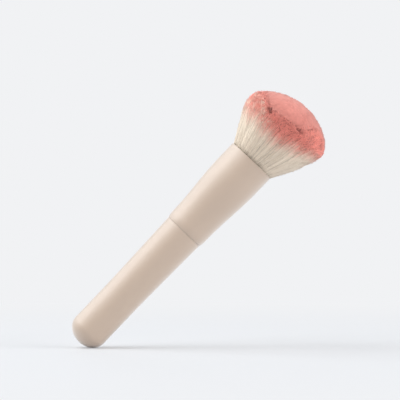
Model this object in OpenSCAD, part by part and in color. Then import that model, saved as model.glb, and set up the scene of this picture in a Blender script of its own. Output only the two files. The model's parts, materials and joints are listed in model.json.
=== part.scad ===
// Blush brush with a dense domed head, leaning on its rounded butt.
// Every piece is drawn upright, with the butt's tip at zero and the head up,
// and is then leaned over, so that the butt rests on the table at height zero.
// All lengths are in millimetres.

/* [Pose] */
// Angle between the brush and the table, where 90 is upright
lean_angle = 46.3; // [30:0.1:90]

/* [Handle] */
// Height of the handle, from the tip of the butt to the seam
handle_h = 70; // [62:0.5:110]
// Radius of the straight grip
grip_r = 8.9; // [8:0.05:9.6]
// Height of the domed butt
butt_h = 7.35; // [5:0.05:9]
// Height at which the grip starts to widen
widen_z = 26; // [20:0.5:34]
// Length over which the widening bends away from the straight grip
widen_bend_h = 8; // [4:0.5:14]
// Radius of the handle at the seam
seam_r = 9.72; // [9.6:0.02:10]
// Thickness of plastic under the bore, at the butt
butt_floor_h = 4; // [3:0.1:8]
// Radius of the bore down the handle
bore_r = 6.4; // [5:0.1:7]
// Width of the bevel on the edges that meet at the seam
seam_bevel = 0.18; // [0.05:0.01:0.3]

/* [Balance weight] */
// Length of the steel weight in the bore
weight_h = 20; // [8:0.5:24]
// Width of the bevels at the ends of the weight
weight_bevel = 0.6; // [0.2:0.1:1.2]
// Length of the stopper over the weight
stopper_h = 7; // [4:0.5:9]
// Number of crush ribs round the stopper
stopper_ribs = 8; // [4:1:12]
// Radius of one crush rib
stopper_rib_r = 0.5; // [0.3:0.05:0.8]

/* [Ferrule] */
// Height of the ferrule, from the seam to its mouth
ferrule_h = 45; // [40:0.5:60]
// Thickness of the drawn metal wall
ferrule_wall = 0.55; // [0.4:0.05:0.7]
// Radius of the ferrule just above its rolled-in lower edge
ferrule_low_r = 10.3; // [10:0.02:10.6]
// Height of the rolled-in lower edge
ferrule_roll_h = 4; // [1:0.1:6]
// Radius of the straight band at the mouth
band_r = 11.9; // [11.6:0.01:12.4]
// Height of the straight band at the mouth
band_h = 10; // [7:0.1:17]
// Radius of the rounding on the mouth's lip
lip_r = 0.2; // [0.1:0.02:0.25]

/* [Spigot] */
// Length of the spigot's plug in the handle
plug_h = 16; // [10:0.5:24]
// Height of the spigot inside the ferrule
insert_h = 20; // [12:0.5:21]
// Wall left round the spigot's core
core_wall = 2; // [1.5:0.1:3]
// Thickness of the spigot's closed top
spigot_top_h = 3; // [2:0.1:5]
// Number of glue grooves round the plug
glue_grooves = 3; // [1:1:4]
// Depth of a glue groove
glue_groove_depth = 0.45; // [0.2:0.05:0.8]
// Width of a glue groove
glue_groove_w = 1.4; // [0.8:0.1:2]

/* [Hair] */
// Height of the resin that the roots are cast in, under the slice that they grow from
resin_h = 7; // [4:0.5:7]
// Thickness of the slice of resin that carries the strands
slice_h = 1; // [0.6:0.1:1.4]
// Height of the widest part of the head above the mouth
rim_h = 22.6; // [18:0.1:30]
// Height of the dome above the widest part
dome_h = 12.1; // [7:0.1:16]
// Radius of the head at its widest part
head_r = 21.3; // [20:0.1:22.5]
// Radius of the head where its sides start to curve in towards the rim
side_r = 20.9; // [18:0.1:21.2]
// Number of strands
strands = 308; // [300:1:320]
// Radius of one strand where it is rooted
root_strand_r = 0.51; // [0.3:0.01:0.54]
// Radius of one strand at its fullest
full_strand_r = 0.9; // [0.4:0.01:0.92]
// Radius of one strand at its cut end
end_strand_r = 0.82; // [0.35:0.01:0.85]

/* [Binding] */
// Number of turns of thread bound round the roots
binding_turns = 6; // [3:1:10]
// Radius of the binding thread
thread_r = 0.2; // [0.1:0.01:0.22]

/* [Hidden] */
$fn = 96;

// Colours
cream_matte = "#E3D3C3";
bare_steel = "#8C9196";
black_rubber = "#2F2F31";
white_plastic = "#D9DADB";
amber_resin = "#C9A45C";
cotton_thread = "#F1ECE0";
hair_coral = "#E79284";

// Clearance of glued and pushed-in pieces
fit = 0.05;
// Overrun of every cut
over = 1;
// Steps along a quarter of an ellipse, and along the longer curves
quarter_steps = 14;
curve_steps = 20;
lip_steps = 5;

// Heights of the main faces
mouth_z = handle_h + ferrule_h;
band_z = mouth_z - band_h;
roll_z = handle_h + ferrule_roll_h;
resin_z = handle_h + insert_h;
slice_z = resin_z + resin_h;
rooted_z = slice_z + slice_h;
rim_z = mouth_z + rim_h;
stopper_z = butt_floor_h + weight_h;

// The strands fill a disc in the order of a sunflower's seeds
golden_angle = 180 * (3 - sqrt(5));
strand_sides = 3;
// Where a strand is fullest, as a share of its free length
full_share = 0.69;
root_r = inner_r(rooted_z) - 2 * (fit + thread_r) - root_strand_r - fit;
neck_r = band_r - ferrule_wall - fit - root_strand_r;
full_r = side_r - full_strand_r;
end_r = head_r - end_strand_r;

// Place of the leaning brush: lowest at the butt, and centred over the table
lowest_z = butt_h * sin(lean_angle)
    - norm([grip_r * cos(lean_angle), butt_h * sin(lean_angle)]);
butt_back_x = butt_h * cos(lean_angle)
    - norm([grip_r * sin(lean_angle), butt_h * cos(lean_angle)]);
head_back_x = rim_z * cos(lean_angle) - head_r * sin(lean_angle);
head_front_x = rim_z * cos(lean_angle)
    + norm([head_r * sin(lean_angle), dome_h * cos(lean_angle)]);
centre_x = (min(butt_back_x, head_back_x) + head_front_x) / 2;

module leaned() {
    translate([-centre_x, 0, -lowest_z])
        rotate([0, 90 - lean_angle, 0])
            children();
}

// Quarter of an ellipse, from the tip of the butt out to the straight grip
function butt_points() = [for (i = [0:quarter_steps])
    let (a = 90 * i / quarter_steps)
    [grip_r * sin(a), butt_h * (1 - cos(a))]];

// Curve that leaves the straight grip smoothly and runs straight on to the seam
function widening_points() = let (
        a = [grip_r, widen_z],
        b = [grip_r, widen_z + widen_bend_h],
        c = [seam_r, handle_h - seam_bevel])
    [for (i = [0:curve_steps])
        let (t = i / curve_steps)
        a * pow(1 - t, 2) + b * 2 * t * (1 - t) + c * pow(t, 2)];

module handle() {
    color(cream_matte) leaned() difference() {
        rotate_extrude() polygon(concat(
            butt_points(),
            widening_points(),
            [[seam_r - seam_bevel, handle_h], [0, handle_h]]));
        translate([0, 0, butt_floor_h])
            cylinder(r = bore_r, h = handle_h);
    }
}

module balance_weight() {
    r = bore_r - fit;
    color(bare_steel) leaned()
        translate([0, 0, butt_floor_h])
            rotate_extrude() polygon([
                [0, 0],
                [r - weight_bevel, 0],
                [r, weight_bevel],
                [r, weight_h - weight_bevel],
                [r - weight_bevel, weight_h],
                [0, weight_h]]);
}

// The ribs are crushed against the bore and keep the weight from rattling
module weight_stopper() {
    rib_place_r = bore_r - fit - stopper_rib_r;
    color(black_rubber) leaned()
        translate([0, 0, stopper_z]) {
            cylinder(r = rib_place_r, h = stopper_h);
            for (i = [0:stopper_ribs - 1])
                rotate([0, 0, 360 * i / stopper_ribs])
                    translate([rib_place_r, 0, 0])
                        cylinder(r = stopper_rib_r, h = stopper_h);
        }
}

// Outer radius of the ferrule at a height: rolled in at the seam,
// an even swell up from its low part, and a straight band at the mouth
function outer_r(z) =
    z < roll_z
        ? seam_r + (ferrule_low_r - seam_r) * (z - handle_h) / ferrule_roll_h
    : z > band_z
        ? band_r
        : ferrule_low_r + (band_r - ferrule_low_r)
            * (1 - cos(180 * (z - roll_z) / (band_z - roll_z))) / 2;

function inner_r(z) = outer_r(z) - ferrule_wall;

// Heights at which an outline between two heights needs a point
function outline_heights(from_z, to_z) = let (
        swell = [for (i = [0:curve_steps]) roll_z + (band_z - roll_z) * i / curve_steps],
        inside = [for (z = swell) if (z > from_z && z < to_z) z])
    concat([from_z], inside, [to_z]);

// Outline of a solid that fills the ferrule between two heights
function filling_points(from_z, to_z) = concat(
    [[0, from_z]],
    [for (z = outline_heights(from_z, to_z)) [inner_r(z) - fit, z]],
    [[0, to_z]]);

// One drawn sheet: up the outside, round the lip and down the inside
module ferrule() {
    inside = outline_heights(handle_h, mouth_z - lip_r);
    last = len(inside) - 1;
    color(cream_matte) leaned()
        rotate_extrude() polygon(concat(
            [[seam_r - seam_bevel, handle_h]],
            [for (z = outline_heights(handle_h + seam_bevel, mouth_z - lip_r)) [outer_r(z), z]],
            [for (i = [1:lip_steps])
                let (a = 90 * i / lip_steps)
                [band_r - lip_r * (1 - cos(a)), mouth_z - lip_r * (1 - sin(a))]],
            [for (i = [0:lip_steps - 1])
                let (a = 90 * i / lip_steps)
                [band_r - ferrule_wall + lip_r * (1 - sin(a)), mouth_z - lip_r * (1 - cos(a))]],
            [for (i = [0:last]) [inner_r(inside[last - i]), inside[last - i]]]));
}

// Joins the handle and the ferrule: a grooved plug below, a shaped insert above
module spigot() {
    plug_r = bore_r - fit;
    plug_z = handle_h - plug_h;
    groove_step = plug_h / (glue_grooves + 1);
    color(white_plastic) leaned() difference() {
        union() {
            translate([0, 0, plug_z])
                cylinder(r = plug_r, h = plug_h);
            rotate_extrude()
                polygon(filling_points(handle_h, resin_z));
        }
        for (i = [1:glue_grooves])
            translate([0, 0, plug_z + i * groove_step - glue_groove_w / 2])
                difference() {
                    cylinder(r = plug_r + over, h = glue_groove_w);
                    cylinder(r = plug_r - glue_groove_depth, h = glue_groove_w);
                }
        translate([0, 0, plug_z - over])
            cylinder(r = plug_r - core_wall, h = plug_h + insert_h - spigot_top_h + over);
    }
}

module root_resin() {
    color(amber_resin) leaned()
        rotate_extrude()
            polygon(filling_points(resin_z, slice_z));
}

// Turns of thread laid against each other, tight round the roots
module root_binding() {
    turn_r = inner_r(rooted_z) - fit - thread_r;
    turn_step = sqrt(3) * thread_r;
    color(cotton_thread) leaned()
        rotate_extrude()
            for (i = [0:binding_turns - 1])
                translate([turn_r, rooted_z + fit + thread_r + i * turn_step])
                    circle(r = thread_r, $fn = 24);
}

// Height of the dome at a distance from its axis
function dome_z(r) = rim_z + dome_h * sqrt(1 - pow(min(r, head_r) / head_r, 2));

// How far out a strand lies in the open head, where its root lies a share of the way out:
// strands near the rim crowd together, so that their ends cover the steep edge of the dome
function spread_share(share) = (share + sin(90 * share)) / 2;

// Corners of one strand's cross-section round a place
function strand_ring(place, angle, r) = [for (k = [0:strand_sides - 1])
    let (a = angle + 360 * k / strand_sides)
    place + r * [cos(a), sin(a), 0]];

// The four cross-sections of a strand: rooted, at the mouth, at its fullest and at its end
function strand_points(i) = let (
        share = sqrt((i + 1 / 2) / strands),
        around = i * golden_angle,
        out = [cos(around), sin(around), 0],
        up = [0, 0, 1],
        spread = spread_share(share),
        full_z = mouth_z + full_share * (dome_z(end_r * spread) - mouth_z))
    concat(
        strand_ring(out * root_r * share + up * (slice_z + slice_h / 2), around, root_strand_r),
        strand_ring(out * neck_r * share + up * mouth_z, around, root_strand_r),
        strand_ring(out * full_r * spread + up * full_z, around, full_strand_r),
        [for (corner = strand_ring(out * end_r * spread, around, end_strand_r))
            [corner[0], corner[1], dome_z(norm(corner))]]);

strand_rings = 4;

// Two triangles for each side between two cross-sections, and one at each end
function strand_faces(i) = let (first = i * strand_rings * strand_sides)
    concat(
        [[first, first + 1, first + 2]],
        [for (j = [0:strand_rings - 2], k = [0:strand_sides - 1])
            let (
                a = first + j * strand_sides + k,
                b = first + j * strand_sides + (k + 1) % strand_sides)
            each [[a, a + strand_sides, b], [b, a + strand_sides, b + strand_sides]]],
        [let (end = first + (strand_rings - 1) * strand_sides)
            [end + 2, end + 1, end]]);

// The strands stand in a slice of the resin, and the head is brought to its exact height
module bristles() {
    color(hair_coral) leaned()
        translate([0, 0, slice_z])
            resize([0, 0, rim_z + dome_h - slice_z])
                translate([0, 0, -slice_z]) {
                    rotate_extrude($fn = 48)
                        polygon([
                            [0, slice_z],
                            [inner_r(slice_z) - fit, slice_z],
                            [inner_r(slice_z) - fit, rooted_z],
                            [0, rooted_z]]);
                    polyhedron(
                        points = [for (i = [0:strands - 1]) each strand_points(i)],
                        faces = [for (i = [0:strands - 1]) each strand_faces(i)]);
                }
}

handle();
balance_weight();
weight_stopper();
spigot();
ferrule();
root_resin();
root_binding();
bristles();
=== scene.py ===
"""A blush brush leaning on its butt: a coated handle and ferrule under a dense two-tone head of hair."""

import json
import math

import bpy
import numpy as np
from bpy.props import FloatProperty, FloatVectorProperty, IntProperty, PointerProperty
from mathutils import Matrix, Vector


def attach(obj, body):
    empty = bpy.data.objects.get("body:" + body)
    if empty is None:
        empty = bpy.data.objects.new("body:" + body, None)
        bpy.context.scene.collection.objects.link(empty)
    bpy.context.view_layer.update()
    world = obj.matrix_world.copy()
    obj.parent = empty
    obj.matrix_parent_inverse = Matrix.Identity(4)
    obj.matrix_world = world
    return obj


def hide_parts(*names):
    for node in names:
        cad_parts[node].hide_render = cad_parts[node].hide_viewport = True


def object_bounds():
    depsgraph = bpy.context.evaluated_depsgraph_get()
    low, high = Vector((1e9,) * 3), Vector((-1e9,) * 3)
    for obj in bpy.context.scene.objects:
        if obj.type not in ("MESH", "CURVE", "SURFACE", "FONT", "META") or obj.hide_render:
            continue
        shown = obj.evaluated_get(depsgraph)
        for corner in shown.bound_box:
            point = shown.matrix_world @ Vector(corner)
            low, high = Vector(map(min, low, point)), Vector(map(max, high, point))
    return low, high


bl_info = {
    "name": "Blush brush",
    "version": (1, 0, 0),
    "blender": (4, 5, 0),
    "location": "3D View > Sidebar > Brush",
    "description": "Dresses a packed blush brush: coated handle and ferrule, and a head of fine hair",
    "category": "Object",
}

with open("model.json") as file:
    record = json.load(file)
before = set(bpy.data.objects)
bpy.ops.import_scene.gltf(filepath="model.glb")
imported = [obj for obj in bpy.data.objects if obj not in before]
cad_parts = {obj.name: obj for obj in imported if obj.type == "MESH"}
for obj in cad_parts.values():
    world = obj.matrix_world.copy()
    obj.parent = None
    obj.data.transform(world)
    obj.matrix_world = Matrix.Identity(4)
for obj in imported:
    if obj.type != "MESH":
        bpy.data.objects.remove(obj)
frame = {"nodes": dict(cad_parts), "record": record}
cad_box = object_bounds()

MM = 0.001

# Heights along the axis, in millimetres from the tip of the butt
BUTT_H = 7.35
BORE_FLOOR_Z = 4.0
WIDEN_Z = 26.0
SEAM_Z = 70.0
MOUTH_Z = 115.0
RIM_Z = 137.6

# The brush's own axes, read from the grip mount: the mount's axis points out of the butt
GRIP = next(m for m in frame["record"]["mounts"] if m["name"] == "grip")
AXIS = -np.array(GRIP["axis"]) / np.linalg.norm(GRIP["axis"])
SIDE = np.array([0.0, 1.0, 0.0])
ACROSS = np.cross(SIDE, AXIS)
BUTT_TIP = np.array(GRIP["pos_m"]) - (BUTT_H + GRIP["dims"]["length_mm"] / 2) * MM * AXIS

# Radii of the handle and the ferrule, and the ferrule's wall, in millimetres
GRIP_R = GRIP["dims"]["r_mm"]
SEAM_R = 9.72
BORE_R = 6.4
FERRULE_LOW_R = 10.3
BAND_R = 11.9
FERRULE_WALL = 0.55

# Lengths along the handle and the ferrule, in millimetres
WIDEN_BEND_H = 8.0
ROLL_H = 4.0
BAND_H = 10.0

# The shadow line between the handle and the ferrule, and the rounds beside it, in millimetres
SEAM_HALF_GAP = 0.035
SEAM_GAP_DEPTH = 0.5
SEAM_EDGE_R = 0.06

# The head of settled hair, in millimetres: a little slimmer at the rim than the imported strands, and a
# little higher in the dome
HEAD_R = 20.95
DOME_H = 12.4

# Points round each turned shell
AROUND_STEPS = 192


def linear(hex_colour):
    """Linear red, green and blue of an sRGB hex value, by the standard's two-part curve."""
    channels = [int(hex_colour[i : i + 2], 16) / 255 for i in (1, 3, 5)]
    return tuple(c / 12.92 if c <= 0.04045 else ((c + 0.055) / 1.055) ** 2.4 for c in channels)


class StageSettings(bpy.types.PropertyGroup):
    """Sizes and levels of the floor, the lights and the camera."""

    camera_distance: FloatProperty(
        name="Camera distance", description="From the brush's middle plane", default=1.0, subtype="DISTANCE"
    )
    camera_across: FloatProperty(
        name="Camera across", description="Place of the camera along X", default=0.00105, subtype="DISTANCE"
    )
    camera_height: FloatProperty(
        name="Camera height", description="Above the floor", default=0.06794, subtype="DISTANCE"
    )
    field_of_view: FloatProperty(
        name="Field of view",
        description="Across the square picture",
        default=math.radians(10.51),
        subtype="ANGLE",
    )
    floor_radius: FloatProperty(
        name="Floor radius", description="Radius of the round floor", default=4.0, subtype="DISTANCE"
    )
    left_power: FloatProperty(
        name="Left power", description="Of the big soft lamp up on the left", default=30.0, subtype="POWER"
    )
    front_power: FloatProperty(
        name="Front power", description="Of the one nearer to the front", default=25.0, subtype="POWER"
    )
    right_power: FloatProperty(
        name="Right power", description="Of the lamp low on the right", default=28.5, subtype="POWER"
    )
    lamp_distance: FloatProperty(
        name="Lamp distance", description="From the brush to each lamp", default=2.0, subtype="DISTANCE"
    )
    ambient: FloatProperty(
        name="Ambient level", description="Light from all round", default=0.45, min=0, max=2
    )
    pale: FloatVectorProperty(
        name="Background",
        description="Colour of the pale surroundings",
        subtype="COLOR",
        default=linear("#F1F2F4"),
    )


class CoatSettings(bpy.types.PropertyGroup):
    """Colour and gloss of the matte coating on the handle and the ferrule."""

    colour: FloatVectorProperty(
        name="Coat", description="Colour of the matte coating", subtype="COLOR", default=linear("#BFA894")
    )
    roughness: FloatProperty(name="Roughness", description="Of the coating", default=0.42, min=0, max=1)
    grain: FloatProperty(
        name="Grain",
        description="Width of one grain of the sprayed coat",
        default=0.22 * MM,
        subtype="DISTANCE",
        precision=5,
    )


class HairSettings(bpy.types.PropertyGroup):
    """Numbers, thickness and colours of the hair."""

    side_hairs: IntProperty(name="Side hairs", description="Long ones from the mouth up", default=6000)
    tousled_hairs: IntProperty(
        name="Tousled hairs", description="Short ones that lie every way round the rim", default=13000
    )
    edge_hairs: IntProperty(
        name="Edge hairs", description="Ragged ends along the edge of the powder", default=1800
    )
    dome_hairs: IntProperty(name="Dome hairs", description="Ends that make the dome", default=17000)
    stray_hairs: IntProperty(
        name="Stray hairs", description="Fine single hairs that stand off the head", default=3400
    )
    thickness: FloatProperty(
        name="Thickness", description="Of one hair", default=0.3 * MM, subtype="DISTANCE", precision=5
    )
    cream: FloatVectorProperty(
        name="Cream", description="Hair at its root", subtype="COLOR", default=linear("#FCEAD4")
    )
    coral: FloatVectorProperty(
        name="Coral", description="The dyed ends", subtype="COLOR", default=linear("#FF9A8B")
    )
    powder: FloatVectorProperty(
        name="Powder", description="Powder on the domed face", subtype="COLOR", default=linear("#DA8E82")
    )
    cream_shadow: FloatVectorProperty(
        name="Cream shadow", description="Between cream hairs", subtype="COLOR", default=linear("#938371")
    )
    coral_shadow: FloatVectorProperty(
        name="Coral shadow", description="Between coral hairs", subtype="COLOR", default=linear("#6A2825")
    )


def settings():
    """The scene's three groups of settings."""
    scene = bpy.context.scene
    return scene.brush_stage, scene.brush_coat, scene.brush_hair


def placed(points):
    """Row-frame places, in metres, of points in the upright brush's millimetres:
    the butt's tip plus x across, y to the side and z along the leaning axis."""
    points = np.asarray(points, float)
    return BUTT_TIP + MM * (points[..., 0:1] * ACROSS + points[..., 1:2] * SIDE + points[..., 2:3] * AXIS)


def around(radius, angle, height):
    """Points from their radius, angle and height."""
    radius, angle, height = np.broadcast_arrays(radius, angle, height)
    return np.stack([radius * np.cos(angle), radius * np.sin(angle), height], -1)


def mesh_piece(name, points, triangles, sharp_angle=None, values=None, normals=None):
    """A mesh object at the origin from an array of row-frame points and one of triangles, shaded smooth,
    with a float attribute for each entry of values and, where they are given, its points' own normals."""
    mesh = bpy.data.meshes.new(name)
    mesh.vertices.add(len(points))
    mesh.vertices.foreach_set("co", np.ascontiguousarray(points, np.float32).ravel())
    mesh.loops.add(3 * len(triangles))
    mesh.loops.foreach_set("vertex_index", np.ascontiguousarray(triangles, np.int32).ravel())
    mesh.polygons.add(len(triangles))
    mesh.polygons.foreach_set("loop_start", np.arange(0, 3 * len(triangles), 3, dtype=np.int32))
    mesh.update(calc_edges=True)
    mesh.validate()
    mesh.shade_smooth()
    if sharp_angle is not None:
        mesh.set_sharp_from_angle(angle=sharp_angle)
    for key, value in (values or {}).items():
        attribute = mesh.attributes.new(key, "FLOAT", "POINT")
        attribute.data.foreach_set("value", np.ascontiguousarray(value, np.float32).ravel())
    if normals is not None:
        mesh.normals_split_custom_set_from_vertices(normals)
    piece = bpy.data.objects.new(name, mesh)
    bpy.context.scene.collection.objects.link(piece)
    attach(piece, "root")
    return piece


def grid_triangles(rows, columns, wrap_rows=False):
    """Triangles of a grid of points whose columns run round and join up; the rows join up too
    with wrap_rows. Each cell is two triangles."""
    row_count = rows if wrap_rows else rows - 1
    i, j = np.meshgrid(np.arange(row_count), np.arange(columns), indexing="ij")
    i_next, j_next = (i + 1) % rows, (j + 1) % columns
    a, b = i * columns + j, i * columns + j_next
    c, d = i_next * columns + j, i_next * columns + j_next
    return np.concatenate([np.stack([a, b, d], -1).reshape(-1, 3), np.stack([a, d, c], -1).reshape(-1, 3)])


def pole_triangles(rows, columns):
    """Fans of triangles that close a grid's first and last ring, each onto one of the two points that
    follow the grid's own."""
    here = np.arange(columns)
    there = (here + 1) % columns
    last_ring = (rows - 1) * columns
    pole = np.full(columns, rows * columns)
    return np.concatenate(
        [np.stack([pole, there, here], -1), np.stack([pole + 1, last_ring + here, last_ring + there], -1)]
    )


def turned(profile, closed_loop):
    """A profile of (radius, height) points carried round the axis: x is r cos, y is r sin, z is the height.
    A closed loop joins its last ring to its first; an open one starts and ends at a pole on the axis."""
    profile = np.asarray(profile, float)
    angle = 2 * np.pi * np.arange(AROUND_STEPS) / AROUND_STEPS
    rings = profile if closed_loop else profile[1:-1]
    points = around(rings[:, :1], angle, rings[:, 1:]).reshape(-1, 3)
    triangles = grid_triangles(len(rings), AROUND_STEPS, closed_loop)
    if not closed_loop:
        points = np.concatenate([points, [[0, 0, profile[0, 1]], [0, 0, profile[-1, 1]]]])
        triangles = np.concatenate([triangles, pole_triangles(len(rings), AROUND_STEPS)])
    return points, triangles


def bezier(a, b, c, steps):
    """Points of a quadratic curve from a to c that leaves a towards b."""
    t = np.linspace(0, 1, steps + 1)[:, None]
    return np.asarray(a) * (1 - t) ** 2 + np.asarray(b) * 2 * t * (1 - t) + np.asarray(c) * t**2


def rounded(corner, before, after, radius, steps=6):
    """Points that round a corner between two neighbours: a quadratic curve that leaves the corner's
    two sides a radius away from it."""
    corner, before, after = (np.asarray(p, float) for p in (corner, before, after))
    start = corner + radius * (before - corner) / np.linalg.norm(before - corner)
    end = corner + radius * (after - corner) / np.linalg.norm(after - corner)
    return bezier(start, corner, end, steps)


def handle_profile():
    """Outline of the handle: a quarter ellipse for the butt, the straight grip, the gentle widening,
    a small round at the seam, a thin shadow gap, and the bore."""
    butt_steps, grip_steps, widening_steps = 48, 12, 48
    a = np.radians(np.linspace(0, 90, butt_steps + 1))
    butt = np.stack([GRIP_R * np.sin(a), BUTT_H * (1 - np.cos(a))], -1)
    grip_z = np.linspace(BUTT_H, WIDEN_Z, grip_steps + 2)[1:-1]
    grip = np.stack([np.full(grip_steps, GRIP_R), grip_z], -1)
    top = SEAM_Z - SEAM_HALF_GAP
    bend = (GRIP_R, WIDEN_Z + WIDEN_BEND_H)
    widening = bezier((GRIP_R, WIDEN_Z), bend, (SEAM_R, top), widening_steps)[:-1]
    inner_r = SEAM_R - SEAM_GAP_DEPTH
    seam_edge = rounded((SEAM_R, top), widening[-1], (inner_r, top), SEAM_EDGE_R)
    shoulder = [
        (inner_r, top),
        (inner_r - SEAM_HALF_GAP, SEAM_Z),
        (BORE_R + SEAM_EDGE_R, SEAM_Z),
        (BORE_R, SEAM_Z - SEAM_EDGE_R),
        (BORE_R, BORE_FLOOR_Z),
        (0, BORE_FLOOR_Z),
    ]
    return np.concatenate([butt, grip, widening, seam_edge, shoulder])


def ferrule_outer_r(z):
    """Radius of the ferrule outside: half a cosine wave from its low part up to the band at the mouth."""
    t = np.clip((z - SEAM_Z - ROLL_H) / (MOUTH_Z - BAND_H - SEAM_Z - ROLL_H), 0, 1)
    return FERRULE_LOW_R + (BAND_R - FERRULE_LOW_R) * (1 - np.cos(np.pi * t)) / 2


def ferrule_profile():
    """Outline of the drawn ferrule: a lower edge rolled in to the seam, the swell, the band, a round lip,
    and the same sheet down the inside."""
    swell_steps, lip_steps, roll_steps = 109, 16, 24
    roll_bend = (FERRULE_LOW_R - 0.02, SEAM_Z + 1.2)
    lip_r = FERRULE_WALL / 2
    bottom = SEAM_Z + SEAM_HALF_GAP
    z = np.linspace(SEAM_Z + ROLL_H, MOUTH_Z - lip_r, swell_steps + 1)
    outside = np.stack([ferrule_outer_r(z), z], -1)
    a = np.radians(np.linspace(0, 180, lip_steps + 1))[1:-1]
    lip = np.stack([BAND_R - lip_r + lip_r * np.cos(a), MOUTH_Z - lip_r + lip_r * np.sin(a)], -1)
    inside = np.stack([ferrule_outer_r(z) - FERRULE_WALL, z], -1)[::-1]
    foot = (SEAM_R - FERRULE_WALL, bottom)
    low_edge = rounded((SEAM_R, bottom), foot, roll_bend, SEAM_EDGE_R)
    roll = bezier(low_edge[-1], roll_bend, outside[0], roll_steps)[1:-1]
    return np.concatenate([[foot], low_edge, roll, outside, lip, inside])


def node(tree, kind, links=(), **values):
    """Adds a shader node, sets its attributes and input values by name, and links (input, output) pairs."""
    made = tree.nodes.new(kind)
    for key, value in values.items():
        if hasattr(made, key):
            setattr(made, key, value)
        else:
            made.inputs[key.replace("_", " ")].default_value = value
    for name, output in links:
        tree.links.new(output, made.inputs[name])
    return made


def new_material(name):
    """An empty node material with its output node."""
    material = bpy.data.materials.new(name)
    material.use_nodes = True
    tree = material.node_tree
    tree.nodes.clear()
    return material, tree, tree.nodes.new("ShaderNodeOutputMaterial")


def colour4(colour, factor=1.0):
    """A colour with its alpha, darkened or lightened by a factor."""
    return tuple(min(1.0, c * factor) for c in colour[:3]) + (1.0,)


def grained_material(name, colour, tones, patch, grain, roughness, uneven, bump, **finish):
    """A material whose colour drifts between two tones over patches, given as their width and detail. Its
    roughness is uneven and it has a bump, given as a strength and a depth, both by one fine grain."""
    material, tree, output = new_material(name)
    place = node(tree, "ShaderNodeTexCoord").outputs["Object"]
    cloud = node(tree, "ShaderNodeTexNoise", [("Vector", place)], Scale=1 / patch[0], Detail=patch[1])
    tint = node(
        tree,
        "ShaderNodeMix",
        [("Factor", cloud.outputs["Fac"])],
        data_type="RGBA",
        A=colour4(colour, tones[0]),
        B=colour4(colour, tones[1]),
    )
    fine = node(tree, "ShaderNodeTexNoise", [("Vector", place)], Scale=1 / grain, Detail=3.0).outputs["Fac"]
    gloss = node(
        tree, "ShaderNodeMapRange", [("Value", fine)], To_Min=roughness - uneven, To_Max=roughness + uneven
    )
    raised = node(tree, "ShaderNodeBump", [("Height", fine)], Strength=bump[0], Distance=bump[1])
    links = [
        ("Base Color", tint.outputs["Result"]),
        ("Roughness", gloss.outputs["Result"]),
        ("Normal", raised.outputs["Normal"]),
    ]
    shader = node(tree, "ShaderNodeBsdfPrincipled", links, **finish)
    tree.links.new(shader.outputs["BSDF"], output.inputs["Surface"])
    return material


def coated_material(coat):
    """Soft-touch polyurethane coating, sprayed and matte: broad soft highlights, a very fine spray grain
    and hardly any change of colour over the surface."""
    return grained_material(
        "soft-touch cream coat",
        coat.colour,
        tones=(0.975, 1.02),
        patch=(14 * MM, 2.0),
        grain=coat.grain,
        roughness=coat.roughness,
        uneven=0.04,
        bump=(0.25, 0.012 * MM),
        IOR=1.85,
        Sheen_Weight=0.8,
        Sheen_Roughness=0.5,
    )


def plain_material(name, hex_colour, roughness, grain, **finish):
    """An inner piece's material: one colour broken up by its fine grain."""
    return grained_material(
        name,
        linear(hex_colour),
        tones=(0.85, 1.1),
        patch=(grain, 3.0),
        grain=grain,
        roughness=roughness,
        uneven=0.06,
        bump=(0.4, 0.02 * MM),
        **finish,
    )


HAIR_MATERIAL = "crimped polyester fibre"


def hair_material(hair):
    """Crimped polyester fibre, dyed coral at its ends and dusted with dry powder: soft and matte. A piece's
    tint is 0 for cream, 1 for coral and 2 for powder, and its shade goes from 0, the shadow between hairs,
    to 1."""
    found = bpy.data.materials.get(HAIR_MATERIAL)
    if found:
        return found
    dust_width = 0.5 * MM
    material, tree, output = new_material(HAIR_MATERIAL)
    tint = node(tree, "ShaderNodeAttribute", attribute_name="tint").outputs["Fac"]
    shade = node(tree, "ShaderNodeAttribute", attribute_name="shade").outputs["Fac"]
    place = node(tree, "ShaderNodeTexCoord").outputs["Object"]
    colours = {"A": colour4(hair.cream), "B": colour4(hair.coral)}
    dyed_hair = node(tree, "ShaderNodeMix", [("Factor", tint)], data_type="RGBA", **colours)
    over = node(tree, "ShaderNodeMath", [(0, tint)], operation="SUBTRACT", use_clamp=True)
    over.inputs[1].default_value = 1.0
    links = [("Factor", over.outputs["Value"]), ("A", dyed_hair.outputs["Result"])]
    dusted = node(tree, "ShaderNodeMix", links, data_type="RGBA", B=colour4(hair.powder))
    # The shadow colours and the shade attribute paint the shade between and under the hairs into their
    # colour; shade also carries some of the hairs' own tones
    colours = {"A": colour4(hair.cream_shadow), "B": colour4(hair.coral_shadow)}
    shadow = node(tree, "ShaderNodeMix", [("Factor", tint)], data_type="RGBA", **colours)
    links = [("Factor", shade), ("A", shadow.outputs["Result"]), ("B", dusted.outputs["Result"])]
    colour = node(tree, "ShaderNodeMix", links, data_type="RGBA")
    dust = node(tree, "ShaderNodeTexNoise", [("Vector", place)], Scale=1 / dust_width, Detail=4.0)
    bump = node(
        tree, "ShaderNodeBump", [("Height", dust.outputs["Fac"])], Strength=0.3, Distance=0.05 * MM
    )
    shader = node(
        tree,
        "ShaderNodeBsdfPrincipled",
        [("Base Color", colour.outputs["Result"]), ("Normal", bump.outputs["Normal"])],
        Roughness=0.65,
        Specular_IOR_Level=0.25,
        Sheen_Weight=0.2,
    )
    tree.links.new(shader.outputs["BSDF"], output.inputs["Surface"])
    return material


def smooth_step(low, high, value):
    """Zero below low, one above high, and an S-shaped cubic between them."""
    t = np.clip((value - low) / (high - low), 0, 1)
    return t * t * (3 - 2 * t)


# Tufts that the side hair gathers into above the mouth, evenly spread but for a share of their spacing
TUFTS = 150
TUFT_ANGLES = (np.arange(TUFTS) + np.random.default_rng(3).uniform(-0.34, 0.34, TUFTS)) * 2 * np.pi / TUFTS
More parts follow.
